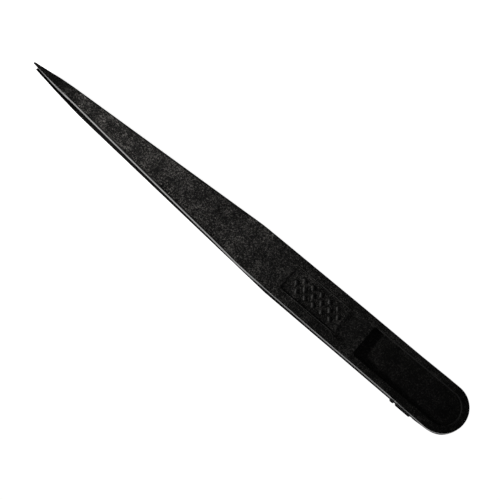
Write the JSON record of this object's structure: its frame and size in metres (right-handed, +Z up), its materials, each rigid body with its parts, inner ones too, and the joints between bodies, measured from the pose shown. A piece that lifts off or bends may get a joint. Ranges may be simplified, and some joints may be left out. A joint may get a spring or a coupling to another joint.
{
  "type": "precision tweezers",
  "caption": "Straight moulded plastic tweezers with two fine pointed tips, relieved jaws, flat spring arms and a welded round heel.",
  "frame": {"origin": "centre of the length, on the symmetry plane, at the surface that the tweezers lie on", "axes": "+X from the tips towards the round heel, +Y across the width, +Z up through the two halves; the tweezers lie on a broad face"},
  "size_m": [0.115, 0.011, 0.0089],
  "materials": {
    "moulding": "black fibre-filled plastic, fine moulded grain, slight sheen",
    "weld": "remelted black plastic"
  },
  "bodies": {
    "heel": {"upper_heel": "moulding", "lower_heel": "moulding", "weld_seam": "weld", "upper_flexure": "moulding", "lower_flexure": "moulding"},
    "upper_arm": {"upper_arm": "moulding"},
    "lower_arm": {"lower_arm": "moulding"}
  },
  "joints": [
    {"name": "upper_arm_flex", "type": "hinge", "parent": "heel", "child": "upper_arm", "pos_m": [-0.00195, 0, 0.00464], "axis": [0, -1, 0], "range_deg": [0, 2.74], "stiffness_Nm_per_rad": 1.1, "deforming": ["upper_flexure"]},
    {"name": "lower_arm_flex", "type": "hinge", "parent": "heel", "child": "lower_arm", "pos_m": [-0.00202, 0, 0.00189], "axis": [0, 1, 0], "range_deg": [0, 2.74], "stiffness_Nm_per_rad": 1.1, "deforming": ["lower_flexure"]}
  ]
}
